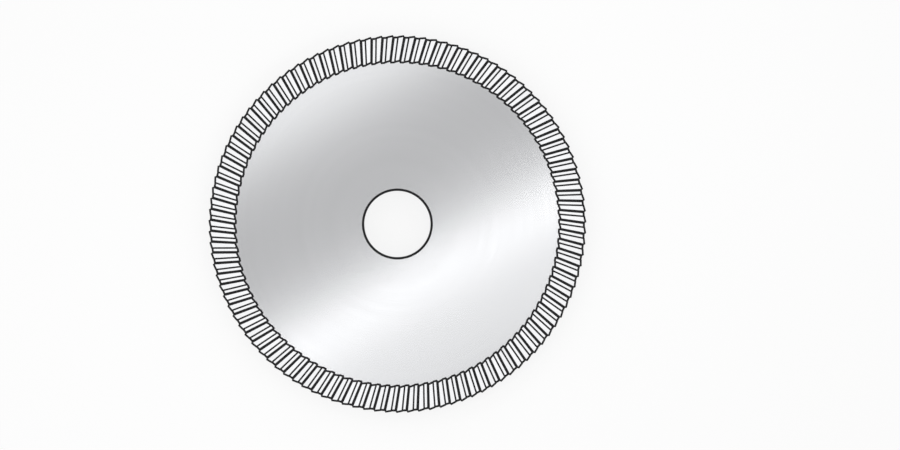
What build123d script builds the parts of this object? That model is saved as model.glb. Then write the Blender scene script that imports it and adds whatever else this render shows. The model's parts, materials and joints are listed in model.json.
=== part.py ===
from build123d import *

import os
from math import asin, cos, radians, sin, sqrt, tan

# Wheel
outer_diameter = 63.5
thickness = 6.35
bore_diameter = 11.1125
bore_chamfer = 0.25

# Edge of the wheel: two bevels that leave a narrow flat across the tip
bevel_included_angle = 60.0
tip_width = 1.45

# Teeth
tooth_count = 107
first_edge_angle = -2.8
tooth_line_offset = 4.84
tip_gullet_depth = 0.24
bevel_gullet_depth = 0.18
shoulder_gullet_depth = 0.145
heel_depth_share = 0.80

# Form of one tooth space, as shares of the pitch going clockwise from the cutting edge
face_root_at = 0.10
gullet_end_at = 0.435
heel_at = 0.465
land_end_at = 0.96

# How far the cutter that makes a tooth space stands clear of the blank
profile_lift = 0.005
air = 0.3
cutter_overrun = 0.15

# Worked out from the dimensions above
outer_radius = outer_diameter / 2
bore_radius = bore_diameter / 2
half_thickness = thickness / 2
half_tip = tip_width / 2
bevel_height = half_thickness - half_tip
shoulder_radius = outer_radius - bevel_height / tan(radians(bevel_included_angle / 2))
pitch_angle = 360 / tooth_count
rim_pitch = 2 * outer_radius * sin(radians(pitch_angle / 2))


def along_tooth_line(radius):
    """Distance along a tooth line, which passes the axis at tooth_line_offset, out to a radius."""
    return sqrt(radius**2 - tooth_line_offset**2)


def tooth_space_profile(depth):
    """Cutting face, gullet, heel and land, as shares of the pitch and heights above the blank."""
    face_rate = depth / face_root_at
    land_rate = heel_depth_share * depth / (land_end_at - heel_at)
    return [
        (-profile_lift / face_rate, profile_lift),
        (face_root_at, -depth),
        (gullet_end_at, -depth),
        (heel_at, -heel_depth_share * depth),
        (land_end_at + profile_lift / land_rate, profile_lift),
    ]


tooth_lean = asin(tooth_line_offset / outer_radius)


def rim_point(share, height):
    """Point seen from above: on the blank's rim at a share of the pitch, then out along the tooth line."""
    angle = radians(-share * pitch_angle)
    outwards = height / cos(tooth_lean)
    return (
        outer_radius * cos(angle) + outwards * cos(angle - tooth_lean),
        outer_radius * sin(angle) + outwards * sin(angle - tooth_lean),
    )


# The cut across one bevel follows the tooth line, which leans away from the radial direction,
# and gets a little shallower towards the shoulder so that the land keeps its width
bevel_run = along_tooth_line(outer_radius) - along_tooth_line(shoulder_radius)
floor_rise = bevel_height + bevel_gullet_depth - shoulder_gullet_depth
floor_slope = floor_rise / bevel_run
cut_direction = Vector(-cos(tooth_lean), sin(tooth_lean), floor_slope)
cut_start = Vector(outer_radius, 0, thickness / 2 + half_tip) - cut_direction * cutter_overrun
side_run_out = (shoulder_gullet_depth + cutter_overrun) / floor_slope
cut_length = (cutter_overrun + bevel_run + side_run_out) * cut_direction.length

# One tooth space, over both bevels and across the tip
with BuildPart() as tooth_space:
    with BuildSketch(Plane(cut_start, x_dir=(0, -1, 0), z_dir=(-1, 0, 0))):
        with BuildLine():
            bevel_profile = [
                (share * rim_pitch, height) for share, height in tooth_space_profile(bevel_gullet_depth)
            ]
            Polyline(
                *bevel_profile,
                (bevel_profile[-1][0], air),
                (bevel_profile[0][0], air),
                close=True,
            )
        make_face()
    extrude(amount=cut_length, dir=cut_direction.normalized())
    mirror(about=Plane.XY.offset(half_thickness))
    with BuildSketch(Plane.XY.offset(half_thickness)):
        with BuildLine():
            tip_profile = tooth_space_profile(tip_gullet_depth)
            Polyline(
                *(rim_point(share, height) for share, height in tip_profile),
                rim_point(tip_profile[-1][0], air),
                rim_point(tip_profile[0][0], air),
                close=True,
            )
        make_face()
    extrude(amount=half_tip + air, both=True)

# The wheel: a turned and bored disc with the tooth spaces cut round its edge
with BuildPart() as wheel:
    with BuildSketch(Plane.XZ):
        with BuildLine():
            Polyline(
                (bore_radius, 0),
                (shoulder_radius, 0),
                (outer_radius, half_thickness - half_tip),
                (outer_radius, half_thickness + half_tip),
                (shoulder_radius, thickness),
                (bore_radius, thickness),
                close=True,
            )
        make_face()
    revolve(axis=Axis.Z)
    bore_edges = wheel.edges().filter_by(GeomType.CIRCLE).group_by(SortBy.RADIUS)[0]
    chamfer(bore_edges, length=bore_chamfer)
    with PolarLocations(0, tooth_count, start_angle=first_edge_angle):
        add(tooth_space.part, mode=Mode.SUBTRACT)

wheel.part.label = "cutting_wheel"
os.makedirs("parts", exist_ok=True)
export_step(wheel.part, "parts/cutting_wheel.step")
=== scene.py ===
# %% [markdown]
# # A key cutting wheel in bright tool steel
#
# The wheel is one flat disc of hard steel. Its edge comes to a blunt V, and fine saw-like teeth
# are cut over both bevels of the V and across the narrow flat at its tip. This lesson loads the
# wheel's construction model, which sets every size, and then makes its finished surface.

# %% Load the construction model
import json
from math import asin, cos, pi, radians, sin, sqrt

import bmesh
import bpy
from mathutils import Matrix, Vector


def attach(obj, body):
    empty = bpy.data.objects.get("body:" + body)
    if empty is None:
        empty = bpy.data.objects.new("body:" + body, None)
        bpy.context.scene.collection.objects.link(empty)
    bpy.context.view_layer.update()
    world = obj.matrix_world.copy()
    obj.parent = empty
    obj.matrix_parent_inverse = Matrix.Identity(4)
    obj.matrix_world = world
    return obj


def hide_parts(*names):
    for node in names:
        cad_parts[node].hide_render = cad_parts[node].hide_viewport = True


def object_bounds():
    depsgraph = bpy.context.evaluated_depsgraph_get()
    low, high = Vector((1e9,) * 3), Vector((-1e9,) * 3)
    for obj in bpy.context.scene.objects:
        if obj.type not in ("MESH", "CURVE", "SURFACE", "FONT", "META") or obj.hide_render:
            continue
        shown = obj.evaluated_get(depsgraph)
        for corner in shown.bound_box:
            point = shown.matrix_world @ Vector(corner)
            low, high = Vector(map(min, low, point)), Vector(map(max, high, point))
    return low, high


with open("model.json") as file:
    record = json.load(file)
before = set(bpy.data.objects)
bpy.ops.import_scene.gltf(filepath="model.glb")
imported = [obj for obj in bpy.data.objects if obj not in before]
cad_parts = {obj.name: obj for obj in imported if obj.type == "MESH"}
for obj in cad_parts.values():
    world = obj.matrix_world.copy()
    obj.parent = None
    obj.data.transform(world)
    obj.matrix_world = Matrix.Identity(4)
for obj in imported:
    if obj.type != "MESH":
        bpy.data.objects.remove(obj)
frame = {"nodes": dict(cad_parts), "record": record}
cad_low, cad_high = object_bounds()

MM = 0.001
print("construction box, mm:", [round(c / MM, 3) for c in (*cad_low, *cad_high)])

# %% [markdown]
# ## Sizes
#
# A finished surface has to agree with the solid it dresses. So the wheel's radii and thickness are
# read from the construction model and its stated bore, and are not typed again. The form of a tooth
# is hard to read from loose triangles. It is stated here as the construction model's source states
# it: as shares of the pitch that go clockwise from the cutting edge, and depths below the blank.

# %% Read the wheel's sizes, in millimetres
# points that are no further apart than this are in the same place
SAME_PLACE = 0.001

wheel_points = [vertex.co / MM for vertex in frame["nodes"]["cutting_wheel"].data.vertices]
thickness = (cad_high.z - cad_low.z) / MM
outer_radius = max(point.xy.length for point in wheel_points)
shoulder_radius = max(p.xy.length for p in wheel_points if p.z > thickness - SAME_PLACE)
rim_top = max(p.z for p in wheel_points if p.xy.length > outer_radius - SAME_PLACE)
half_tip = rim_top - thickness / 2
bevel_height = thickness / 2 - half_tip
bore = next(mount for mount in frame["record"]["mounts"] if mount["kind"] == "bore")
bore_radius = bore["dims"]["r_mm"]
bore_chamfer = (thickness - bore["dims"]["length_mm"]) / 2
print(f"outer radius {outer_radius:.3f}, shoulder {shoulder_radius:.3f}, half tip {half_tip:.3f}")
print(f"thickness {thickness:.3f}, bore radius {bore_radius:.3f}, chamfer {bore_chamfer:.3f}")

# %% State the form of the teeth
tooth_count = 107
first_edge_angle = radians(-2.8)
tooth_line_offset = 4.84
tip_gullet_depth = 0.24
bevel_gullet_depth = 0.18
shoulder_gullet_depth = 0.145
face_root_at = 0.10
gullet_end_at = 0.435
heel_at = 0.465
land_end_at = 0.96
heel_depth_share = 0.80

pitch_angle = 2 * pi / tooth_count
rim_pitch = 2 * outer_radius * sin(pitch_angle / 2)
tooth_lean = asin(tooth_line_offset / outer_radius)
print(f"pitch at the rim {rim_pitch:.3f} mm, tooth lines lean {tooth_lean * 180 / pi:.1f} degrees")

# %% [markdown]
# ## The camera
#
# The picture looks straight at the wheel's side face. The wheel can't stand on its edge, so it lies
# flat and the camera looks straight down on it. A long lens keeps the view nearly without
# perspective, as a drawing is. The camera's axis goes through the bore, and a small shift puts the
# wheel left of the middle of the frame.

# %% Place the camera over the bore
PICTURE_WIDTH, PICTURE_HEIGHT = 900, 450
WHEEL_CENTRE_PX = (397.4, 224.0)
WHEEL_RADIUS_PX = 189.0
LONG_LENS = 400
SIGHT_RANGE = 10

camera_data = bpy.data.cameras.new("camera_over_bore")
camera_data.lens = LONG_LENS
camera_data.clip_end = SIGHT_RANGE
camera_data.shift_x = (PICTURE_WIDTH / 2 - WHEEL_CENTRE_PX[0]) / PICTURE_WIDTH
camera_data.shift_y = (WHEEL_CENTRE_PX[1] - PICTURE_HEIGHT / 2) / PICTURE_WIDTH
frame_width = PICTURE_WIDTH / WHEEL_RADIUS_PX * outer_radius * MM
camera_distance = frame_width * LONG_LENS / camera_data.sensor_width
camera = bpy.data.objects.new("camera_over_bore", camera_data)
camera.location = (0, 0, rim_top * MM + camera_distance)
bpy.context.scene.collection.objects.link(camera)
bpy.context.scene.camera = camera
bpy.context.scene.view_settings.view_transform = "Standard"
print(f"camera {camera_distance:.3f} m above the tips, frame {frame_width / MM:.1f} mm wide")

# %% [markdown]
# ## Node trees written as sums
#
# A node tree is easier to read when its maths looks like maths. This class wraps one output socket.
# Python's signs on it add Math nodes, and one method makes every other kind of node. The same class
# serves the materials, the world and the geometry.


# %% Wrap a socket
class Wire:
    """One output socket of a node tree. Its sums add Math nodes to that tree."""

    def __init__(self, tree, socket=None):
        self.tree = tree
        self.socket = socket

    def node(self, kind, settings=None, inputs=None, output=0):
        """Adds a node, sets it, fills its sockets with values or wires, and returns one output."""
        made = self.tree.nodes.new(kind)
        for name, value in (settings or {}).items():
            if name == "stops":
                fill_ramp(made.color_ramp, value)
            else:
                setattr(made, name, value)
        for name, value in (inputs or {}).items():
            socket = made.inputs[name]
            if isinstance(value, Wire):
                self.tree.links.new(value.socket, socket)
            else:
                socket.default_value = value
        has_output = len(made.outputs) > 0
        return Wire(self.tree, made.outputs[output] if has_output else None)

    def math(self, operation, *values):
        return self.node("ShaderNodeMath", {"operation": operation}, dict(enumerate(values)))

    def __add__(self, other):
        return self.math("ADD", self, other)

    def __sub__(self, other):
        return self.math("SUBTRACT", self, other)

    def __rsub__(self, other):
        return self.math("SUBTRACT", other, self)

    def __mul__(self, other):
        return self.math("MULTIPLY", self, other)

    def __truediv__(self, other):
        return self.math("DIVIDE", self, other)

    def __rtruediv__(self, other):
        return self.math("DIVIDE", other, self)

    __radd__ = __add__
    __rmul__ = __mul__


def new_material(name):
    """An empty material, and a wire to build its nodes from."""
    material = bpy.data.materials.new(name)
    material.use_nodes = True
    material.node_tree.nodes.clear()
    return material, Wire(material.node_tree)


def fill_ramp(ramp, stops):
    """Puts stops, each a position and a grey, on a colour ramp."""
    while len(ramp.elements) > 1:
        ramp.elements.remove(ramp.elements[-1])
    for number, (position, grey) in enumerate(stops):
        element = ramp.elements[0] if number == 0 else ramp.elements.new(position)
        element.position = position
        element.color = (grey, grey, grey, 1)


print("a Wire can add, subtract, multiply and divide")

# %% [markdown]
# ## Floor and light tent
#
# Bright metal shows what stands round it. Product photographers put it in a light tent of pale
# cloth, with a hole above for the camera. The world plays the tent here. Its brightness depends on
# the height in the sky alone, so the wheel looks the same from all sides, and its roof is a little
# dimmer than its foot, so that the flat face looks grey from above and not white.

# %% Light tent
TENT_STRENGTH = 1.3
TENT_STOPS = [(0.0, 0.72), (0.5, 0.60), (1.0, 0.55)]


def light_tent():
    world = bpy.data.worlds.new("light_tent")
    world.use_nodes = True
    world.node_tree.nodes.clear()
    start = Wire(world.node_tree)
    direction = start.node("ShaderNodeTexCoord", output="Generated")
    height = start.node("ShaderNodeSeparateXYZ", inputs={"Vector": direction}, output="Z")
    cloth = start.node("ShaderNodeValToRGB", {"stops": TENT_STOPS}, {"Fac": height})
    tent = start.node("ShaderNodeBackground", inputs={"Color": cloth, "Strength": TENT_STRENGTH})
    start.node("ShaderNodeOutputWorld", inputs={"Surface": tent})
    bpy.context.scene.world = world
    print("tent brightness by height:", [(z, round(v * TENT_STRENGTH, 2)) for z, v in TENT_STOPS])


light_tent()

# %% [markdown]
# The floor is plain white board. Part of what the camera sees of it is a steady white, so that the
# background stays as white as paper, and the rest is lit, so that the wheel keeps its soft shadow.

# %% White board to lie on
FLOOR_HALF_SIZE = 1.5
FLOOR_CLEARANCE = 0.00001
FLOOR_COLOUR = (0.97, 0.97, 0.97, 1.0)
FLOOR_STEADY_SHARE = 0.82
WHITE = (1.0, 1.0, 1.0, 1.0)


def seen_directly(start):
    """1 for what the camera sees, straight or in a mirror or through glass, and 0 for other light."""
    light_path = start.tree.nodes.new("ShaderNodeLightPath")
    names = ("Is Camera Ray", "Is Glossy Ray", "Is Transmission Ray")
    camera_ray, glossy_ray, through_ray = [Wire(start.tree, light_path.outputs[n]) for n in names]
    return start.math("MAXIMUM", start.math("MAXIMUM", camera_ray, glossy_ray), through_ray)


def white_board():
    mesh = bpy.data.meshes.new("white_board")
    edge = FLOOR_HALF_SIZE
    level = cad_low.z - FLOOR_CLEARANCE
    corners = [(-edge, -edge, level), (edge, -edge, level), (edge, edge, level), (-edge, edge, level)]
    mesh.from_pydata(corners, [], [(0, 1, 2, 3)])
    board = bpy.data.objects.new("white_board", mesh)
    bpy.context.scene.collection.objects.link(board)
    material, start = new_material("white_board")
    lit = start.node("ShaderNodeBsdfDiffuse", inputs={"Color": FLOOR_COLOUR})
    steady = start.node("ShaderNodeEmission", inputs={"Color": WHITE, "Strength": 1.0})
    share = seen_directly(start) * FLOOR_STEADY_SHARE
    board_shader = start.node("ShaderNodeMixShader", inputs={0: share, 1: lit, 2: steady})
    start.node("ShaderNodeOutputMaterial", inputs={"Surface": board_shader})
    mesh.materials.append(material)


white_board()
print("the board lies at the level of the wheel's lower face")

# %% [markdown]
# The toothed bevels are the brightest part of the picture. They tilt outwards by 30 degrees, so from
# above they mirror what stands 30 degrees above the floor. A low band of bright paper round the
# wheel, only a hand's breadth away, gives them that. From a low side the flat face mirrors the band
# too, and because the band is near, its reflection fades across the face, as on real ground metal.
# The band shows in reflections only: it hides nothing, throws no shadow and doesn't light the floor.

# %% Paper band round the wheel
PAPER_RADIUS = 100 * MM
PAPER_LOW = 29 * MM
PAPER_HIGH = 59 * MM
PAPER_STRENGTH = 1.28
PAPER_SIDES = 96


def paper_band():
    mesh = bpy.data.meshes.new("paper_band")
    band = bmesh.new()
    middle = Matrix.Translation((0, 0, (PAPER_LOW + PAPER_HIGH) / 2))
    bmesh.ops.create_cone(
        band, segments=PAPER_SIDES, radius1=PAPER_RADIUS, radius2=PAPER_RADIUS,
        depth=PAPER_HIGH - PAPER_LOW, matrix=middle)
    band.to_mesh(mesh)
    band.free()
    paper = bpy.data.objects.new("paper_band", mesh)
    bpy.context.scene.collection.objects.link(paper)
    material, start = new_material("paper_band")
    glow = start.node("ShaderNodeEmission", inputs={"Color": WHITE, "Strength": PAPER_STRENGTH})
    start.node("ShaderNodeOutputMaterial", inputs={"Surface": glow})
    mesh.materials.append(material)
    paper.visible_camera = False
    paper.visible_diffuse = False
    paper.visible_shadow = False
    print(f"paper band: from {PAPER_LOW / MM:.0f} to {PAPER_HIGH / MM:.0f} mm above the floor")


paper_band()

# %% [markdown]
# ## Strip lights for the sheen
#
# The picture shows a sheen that runs across the face in straight bands, rising to the right. Long
# strip lights make such bands on a satin face. They hang low, side by side, and their light comes
# back to the camera only from the part of the face below each one. They are hidden from the camera,
# so they don't stand in its way.

# %% Hang the strip lights
BAND_RISE = radians(30)
STRIP_HEIGHT = 75 * MM
STRIP_LENGTH = 160 * MM
# each strip: how far it hangs across the bands from the bore, its width in mm, and its power in watts
STRIPS = {
    "bright_band": (10.5, 6.0, 0.0078),
    "lower_band": (25.0, 16.0, 0.0055),
    "upper_band": (-34.0, 24.0, 0.0116),
}


def strip_light(name, across, width, power):
    data = bpy.data.lights.new(name, "AREA")
    data.shape = "RECTANGLE"
    data.size = STRIP_LENGTH
    data.size_y = width * MM
    data.energy = power
    light = bpy.data.objects.new(name, data)
    sideways = Vector((sin(BAND_RISE), -cos(BAND_RISE), 0))
    light.location = sideways * across * MM + Vector((0, 0, thickness * MM + STRIP_HEIGHT))
    light.rotation_euler = (0, 0, BAND_RISE)
    light.visible_camera = False
    bpy.context.scene.collection.objects.link(light)
    print(f"{name}: {across} mm across, {width} mm wide, {power} W")


for strip_name, (across, width, power) in STRIPS.items():
    strip_light(strip_name, across, width, power)

# %% [markdown]
# ## One tooth's skin
#
# All teeth are alike, so one is modelled and repeated. Its skin is a strip of a grid. Across the
# strip go the stations of the tooth: the cutting edge, the steep cutting face, its root, the gullet,
# the heel, and the land that rises to the next cutting edge. Along the strip go the rows of the
# wheel's section: from the middle of the tip over the bevel, the shoulder and the side face to the
# bore. The lower half mirrors the upper half, and the strip closes on itself at the tip.
#
# Each patch of the skin has one of three finishes: satin on the side faces and in the bore, bright
# on the lands and gullets, and a nearly black paint that is painted shade on the cutting faces, at
# their roots and round the heels, and painted dark lines along the edges.

# %% Stations across one tooth
FINISHES = ("Satin", "Bright", "Dark")
SATIN, BRIGHT, SHADE_AND_LINES = range(len(FINISHES))
land_fall = heel_depth_share / (land_end_at - heel_at)
# the dark finish paints shade on the cutting face and a sliver of land before its edge, on the gullet
# floor beside the face's root up to the first share below, and round the heel between the other two
ROOT_SHADE_END_AT = 0.225
HEEL_SHADE_START_AT = 0.422
HEEL_SHADE_END_AT = 0.577
MARGIN_AT = -0.033
# each station: its share of the pitch, its share of the gullet's depth,
# and the finish from here to the next station
TOOTH_STATIONS = [
    (MARGIN_AT, 0.0, SHADE_AND_LINES),
    (0.0, 0.0, SHADE_AND_LINES),
    (face_root_at, 1.0, SHADE_AND_LINES),
    (ROOT_SHADE_END_AT, 1.0, BRIGHT),
    (HEEL_SHADE_START_AT, 1.0, SHADE_AND_LINES),
    (gullet_end_at, 1.0, SHADE_AND_LINES),
    (heel_at, heel_depth_share, SHADE_AND_LINES),
    (HEEL_SHADE_END_AT, land_fall * (land_end_at - HEEL_SHADE_END_AT), BRIGHT),
    (land_end_at, 0.0, BRIGHT),
]


def at_shoulder(share, depth_share):
    """The cut is shallower at the shoulder, so there it starts and ends further down its profile."""
    lost = 1 - shoulder_gullet_depth / bevel_gullet_depth
    if depth_share >= lost:
        return share, depth_share
    if share < face_root_at:
        return share + lost * face_root_at, lost
    return land_end_at - lost / land_fall, lost


print(len(TOOTH_STATIONS), "stations across one pitch")

# %% Rows along the wheel's section
EDGE_BREAK = 0.04
# widths, in mm, of the dark lines painted along the bevel's rim, beside the shoulder and round the
# bore's rim
RIM_LINE_WIDTH = 0.42
SHOULDER_LINE_WIDTH = 0.32
BORE_LINE_WIDTH = 0.15
rim_run, shoulder_run = [sqrt(r**2 - tooth_line_offset**2) for r in (outer_radius, shoulder_radius)]
bevel_run = rim_run - shoulder_run
# the shoulder's points are turned ahead of the rim's by the lean, and the bore's points a little too
bore_lead = tooth_lean / 5
floor_slope = (bevel_height + bevel_gullet_depth - shoulder_gullet_depth) / bevel_run


def tip_point(share, depth_share, height):
    """Point on the tip, in by the gullet's depth along the leaning tooth line."""
    angle = -share * pitch_angle
    inwards = depth_share * tip_gullet_depth / cos(tooth_lean)
    rim = Vector((cos(angle), sin(angle))) * outer_radius
    lean = Vector((cos(angle - tooth_lean), sin(angle - tooth_lean))) * inwards
    return Vector((*(rim - lean), height))


def corner_height(depth_share):
    """Height of the corner between the tip and the bevel, above the lower side face."""
    rise = floor_slope * depth_share * tip_gullet_depth / cos(tooth_lean)
    return thickness / 2 + half_tip - depth_share * bevel_gullet_depth + rise


def shoulder_point(share, depth_share):
    """Point where a line of the tooth runs out on the side face."""
    share, depth_share = at_shoulder(share, depth_share)
    run = (bevel_height + depth_share * bevel_gullet_depth) / floor_slope
    across = share * rim_pitch
    return Vector((outer_radius - run * cos(tooth_lean), run * sin(tooth_lean) - across, thickness))


def ring_point(share, radius, height):
    """Point on a plain ring, such as the edge of the bore."""
    angle = bore_lead - share * pitch_angle
    return Vector((radius * cos(angle), radius * sin(angle), height))


def half_section(share, depth_share):
    """The upper half of the section at one station, from the middle of the tip to the bore."""
    corner = tip_point(share, depth_share, corner_height(depth_share))
    shoulder = shoulder_point(share, depth_share)
    along = (shoulder - corner).normalized()
    inwards = Vector((-shoulder.x, -shoulder.y, 0)).normalized()
    return [
        tip_point(share, depth_share, thickness / 2),
        tip_point(share, depth_share, corner.z - EDGE_BREAK),
        corner + along * EDGE_BREAK,
        corner + along * RIM_LINE_WIDTH,
        shoulder - along * EDGE_BREAK,
        shoulder + inwards * EDGE_BREAK,
        shoulder + inwards * SHOULDER_LINE_WIDTH,
        ring_point(share, bore_radius + bore_chamfer + BORE_LINE_WIDTH, thickness),
        ring_point(share, bore_radius + bore_chamfer, thickness),
        ring_point(share, bore_radius, thickness - bore_chamfer),
    ]


# the finish between each two rows, where the tooth has no painted shade of its own; dark rows are
# painted lines along the edges:
# tip, tip's edge, rim of the bevel, bevel, shoulder's edge, rim of the side, side, bore's rim, chamfer
ROW_FINISH = [BRIGHT, SHADE_AND_LINES, SHADE_AND_LINES, BRIGHT, SHADE_AND_LINES, SHADE_AND_LINES, SATIN, SHADE_AND_LINES, SHADE_AND_LINES]
TOOTHED_ROWS = 5
print("a tooth line is", round(bevel_run, 3), "mm long seen from above")


# %% Knit the stations and rows into one skin
def whole_section(share, depth_share):
    upper = half_section(share, depth_share)
    lower = [Vector((p.x, p.y, thickness - p.z)) for p in reversed(upper[1:])]
    return upper + lower


def patch_finish(row, rows, station_finish):
    """Finish between this row and the next. On a tooth, the darker of two finishes covers the other."""
    bore_wall = len(ROW_FINISH)
    if row == bore_wall:
        return SATIN
    upper_row = row if row < bore_wall else rows - 1 - row
    on_tooth = upper_row < TOOTHED_ROWS
    return max(ROW_FINISH[upper_row], station_finish) if on_tooth else ROW_FINISH[upper_row]


def tooth_skin():
    sections = [whole_section(share, depth_share) for share, depth_share, _ in TOOTH_STATIONS]
    turn = Matrix.Rotation(-pitch_angle, 3, "Z")
    sections.append([turn @ point for point in sections[0]])
    rows = len(sections[0])
    points = [point * MM for section in sections for point in section]
    faces, finishes = [], []
    for station in range(len(sections) - 1):
        for row in range(rows):
            here, following = station * rows + row, station * rows + (row + 1) % rows
            faces.append((here, following, following + rows, here + rows))
            finishes.append(patch_finish(row, rows, TOOTH_STATIONS[station][2]))
    mesh = bpy.data.meshes.new("tooth_skin")
    mesh.from_pydata(points, [], faces)
    finish = mesh.attributes.new("finish", "FLOAT", "FACE")
    finish.data.foreach_set("value", finishes)
    skin = bpy.data.objects.new("tooth_skin", mesh)
    bpy.context.scene.collection.objects.link(skin)
    print(f"one tooth's skin: {len(points)} points, {len(faces)} faces")
    return skin


skin = tooth_skin()

# %% [markdown]
# ## Three finishes
#
# The blank is turned, toothed and hardened. Then its side faces and bore are ground to a grey satin,
# and its lands and gullets more finely, so they are brighter. The steep cutting faces, the corners at
# their roots and the heels are painted nearly black as painted shade, and the broken edges get painted
# dark lines. One material could mask all three, but a mask is only as fine as the map it is baked to.
# Each finish is a material of its own with one plain colour, so the lines between them are as sharp
# as the mesh.
#
# Grinding leaves a circular lay, whose rings differ a little in gloss and height. One noise that
# depends on the radius alone drives both. Rings of colour would hide the soft sheen, so there are
# none. The lands and gullets also differ a little in gloss from tooth to tooth.

# %% Ground steel
SATIN_STEEL = (0.570, 0.574, 0.585, 1.0)
BRIGHT_STEEL = (0.795, 0.800, 0.812, 1.0)
GROUND_ROUGHNESS = 0.24
LAY_RINGS_PER_MM = 0.5
LAY_DETAIL = 3.0
LAY_SHARPNESS = 0.75
LAY_GLOSS = 0.06
LAY_DEPTH = 0.0015 * MM
TOOTH_GLOSS = 0.06
# the middle of the range of a noise or a random number
MIDDLE = 0.5
FLATTEN = (1, 1, 0)


def ground_steel(name, colour, tooth_gloss=None):
    """Steel with the circular lay, and with a change of gloss from tooth to tooth if one is given."""
    material, start = new_material(name)
    place = start.node("ShaderNodeTexCoord", output="Object")
    flat = start.node("ShaderNodeVectorMath", {"operation": "MULTIPLY"}, {0: place, 1: FLATTEN})
    radius = start.node("ShaderNodeVectorMath", {"operation": "LENGTH"}, {0: flat}, output="Value")
    lay = start.node("ShaderNodeTexNoise", {"noise_dimensions": "1D"}, {
        "W": radius * (LAY_RINGS_PER_MM / MM), "Scale": 1.0,
        "Detail": LAY_DETAIL, "Roughness": LAY_SHARPNESS})
    roughness = GROUND_ROUGHNESS + (lay - MIDDLE) * LAY_GLOSS
    if tooth_gloss:
        tone = start.node("ShaderNodeAttribute", {"attribute_name": "tone"}, output="Fac")
        roughness = roughness + (tone - MIDDLE) * tooth_gloss
    normal = start.node("ShaderNodeBump", inputs={
        "Strength": 1.0, "Distance": LAY_DEPTH, "Height": lay})
    steel = start.node("ShaderNodeBsdfPrincipled", inputs={
        "Base Color": colour, "Metallic": 1.0, "Roughness": roughness, "Normal": normal})
    start.node("ShaderNodeOutputMaterial", inputs={"Surface": steel})
    print(f"{name} with {len(material.node_tree.nodes)} nodes")
    return material


satin_steel = ground_steel("satin_side_steel", SATIN_STEEL)
bright_steel = ground_steel("bright_tooth_steel", BRIGHT_STEEL, TOOTH_GLOSS)

# %% [markdown]
# This paint stands for shade and for lines along the edges, and is not bare metal, so it isn't
# metallic. It is nearly black and dull, and a fine grain varies its gloss and relief.

# %% Painted shade and edge lines
# nearly black colour painted on as shade on the cutting faces and in the tooth's corners, and as lines
# along the edges
SHADE_AND_LINE_COLOUR = (0.012, 0.012, 0.013, 1.0)
SHADE_PAINT_ROUGHNESS = 0.55
SHADE_PAINT_ROUGHNESS_SPREAD = 0.20
SHADE_PAINT_GLOSS = 0.15
SHADE_PAINT_GRAINS_PER_MM = 4.0
SHADE_PAINT_DETAIL = 2.0
SHADE_PAINT_DEPTH = 0.002 * MM


def hardening_scale():
    material, start = new_material("hardening_scale")
    place = start.node("ShaderNodeTexCoord", output="Object")
    grain = start.node("ShaderNodeTexNoise", inputs={
        "Vector": place, "Scale": SHADE_PAINT_GRAINS_PER_MM / MM, "Detail": SHADE_PAINT_DETAIL})
    roughness = SHADE_PAINT_ROUGHNESS + (grain - MIDDLE) * SHADE_PAINT_ROUGHNESS_SPREAD
    normal = start.node("ShaderNodeBump", inputs={
        "Strength": 1.0, "Distance": SHADE_PAINT_DEPTH, "Height": grain})
    shade_paint_bsdf = start.node("ShaderNodeBsdfPrincipled", inputs={
        "Base Color": SHADE_AND_LINE_COLOUR, "Metallic": 0.0, "Roughness": roughness, "Normal": normal,
        "Specular IOR Level": SHADE_PAINT_GLOSS})
    start.node("ShaderNodeOutputMaterial", inputs={"Surface": shade_paint_bsdf})
    print(f"hardening_scale with {len(material.node_tree.nodes)} nodes")
    return material


shade_and_line_paint = hardening_scale()

# %% [markdown]
# ## The ring of teeth
#
# On the real wheel a gear-cutting machine makes one tooth, turns the blank by one pitch and makes
# the next. Geometry Nodes do the same here: they put a copy of the tooth's skin at each step of a
# full turn. Where two copies meet, their points fall together and are merged, so that the whole
# wheel becomes one closed surface. Each tooth also gets a random number of its own, for its gloss.
# Last come the materials, laid over each other like coats: satin over everything, then bright, then
# the dark paint for shade and edge lines, each on the patches whose finish is at least its own.

# %% Build the node tree
# finishes are numbered in whole steps, so half a step below a number tells it from the one before
HALF_STEP = 0.5
RING_INPUTS = {
    "Tooth": "NodeSocketGeometry",
    "Teeth": "NodeSocketInt",
    "First Edge": "NodeSocketFloat",
    "Merge Distance": "NodeSocketFloat",
    "Seed": "NodeSocketInt",
    "Satin": "NodeSocketMaterial",
    "Bright": "NodeSocketMaterial",
    "Dark": "NodeSocketMaterial",
}


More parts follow.
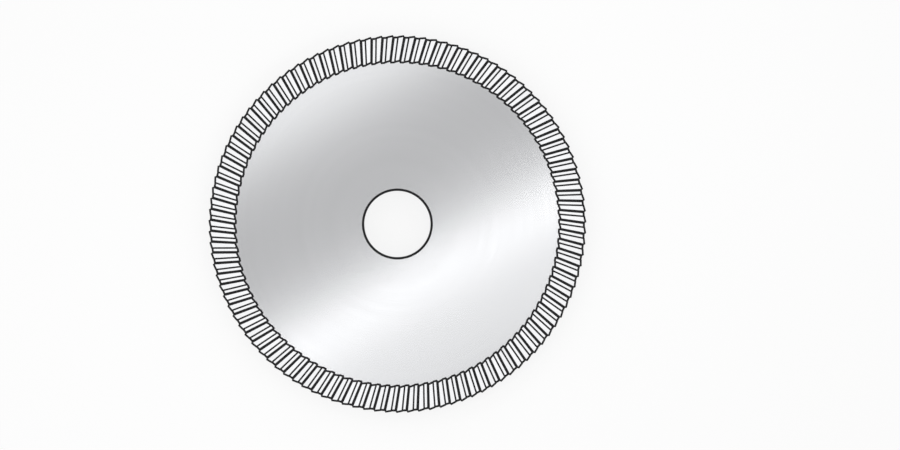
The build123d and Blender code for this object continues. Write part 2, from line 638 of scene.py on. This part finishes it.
def ring_tree():
    tree = bpy.data.node_groups.new("ring_of_teeth", "GeometryNodeTree")
    for name, kind in RING_INPUTS.items():
        tree.interface.new_socket(name, in_out="INPUT", socket_type=kind)
    tree.interface.new_socket("Ring", in_out="OUTPUT", socket_type="NodeSocketGeometry")
    start = Wire(tree)
    given = {name: start.node("NodeGroupInput", output=name) for name in RING_INPUTS}
    index = start.node("GeometryNodeInputIndex")
    points = start.node("GeometryNodePoints", inputs={"Count": given["Teeth"]})
    turn = given["First Edge"] + index * (2 * pi / given["Teeth"])
    rotation = start.node("ShaderNodeCombineXYZ", inputs={"Z": turn})
    copies = start.node("GeometryNodeInstanceOnPoints", inputs={
        "Points": points, "Instance": given["Tooth"], "Rotation": rotation})
    tone = start.node("FunctionNodeRandomValue", {"data_type": "FLOAT"}, {
        "ID": index, "Seed": given["Seed"]}, output=1)
    toned = start.node("GeometryNodeStoreNamedAttribute", {
        "data_type": "FLOAT", "domain": "INSTANCE"}, {
        "Geometry": copies, "Name": "tone", "Value": tone})
    real = start.node("GeometryNodeRealizeInstances", inputs={"Geometry": toned})
    merged = start.node("GeometryNodeMergeByDistance", inputs={
        "Geometry": real, "Distance": given["Merge Distance"]})
    finish = start.node("GeometryNodeInputNamedAttribute", {"data_type": "FLOAT"}, {"Name": "finish"})
    coated = merged
    for number, name in enumerate(FINISHES):
        coated = start.node("GeometryNodeSetMaterial", inputs={
            "Geometry": coated, "Material": given[name],
            "Selection": start.math("GREATER_THAN", finish, number - HALF_STEP)})
    start.node("NodeGroupOutput", inputs={"Ring": coated})
    return tree


tree = ring_tree()
print("ring_of_teeth takes", ", ".join(RING_INPUTS))

# %% Run it and keep the result as a plain mesh
RING_VALUES = {
    "Teeth": tooth_count,
    "First Edge": first_edge_angle,
    "Merge Distance": SAME_PLACE * MM,
    "Seed": 7,
    "Satin": satin_steel,
    "Bright": bright_steel,
    "Dark": shade_and_line_paint,
}


def run_tree(obj, tree, values):
    modifier = obj.modifiers.new(tree.name, "NODES")
    modifier.node_group = tree
    for item in tree.interface.items_tree:
        if item.name in values:
            modifier[item.identifier] = values[item.name]
    bpy.context.view_layer.update()
    evaluated = obj.evaluated_get(bpy.context.evaluated_depsgraph_get())
    mesh = bpy.data.meshes.new_from_object(evaluated)
    obj.modifiers.remove(modifier)
    obj.data = mesh
    return obj


# the skin has its first material already, so that the wheel doesn't get an empty material slot
skin.data.materials.append(satin_steel)
wheel = run_tree(skin, tree, RING_VALUES)
wheel.name = wheel.data.name = "cutting_wheel_finish"
print(f"the wheel has {len(wheel.data.polygons)} faces and {len(wheel.data.vertices)} points")
print("finishes:", ", ".join(material.name for material in wheel.data.materials))

# %% [markdown]
# A closed surface has two faces on every edge and an inside. The volume inside should be that of the
# solid, and it comes out positive only when the faces look outwards, so this one number also tells
# that none of them is turned over.


# %% Measure the result
def volume_and_open_edges(mesh):
    knit = bmesh.new()
    knit.from_mesh(mesh)
    open_edges = sum(1 for edge in knit.edges if len(edge.link_faces) != 2)
    volume = knit.calc_volume(signed=True) / MM**3
    knit.free()
    return volume, open_edges


wheel_volume, wheel_open_edges = volume_and_open_edges(wheel.data)
print(f"volume {wheel_volume:.0f} mm3, {wheel_open_edges} open edges")

# %% [markdown]
# ## Tie the finish to the solid
#
# The finished surface stands in for the solid wheel in every picture, and rides on the same body.
# Its box is measured before and after, to show that the finish didn't change the wheel's size.

# %% Tie and finish
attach(wheel, "root")
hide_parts("cutting_wheel")
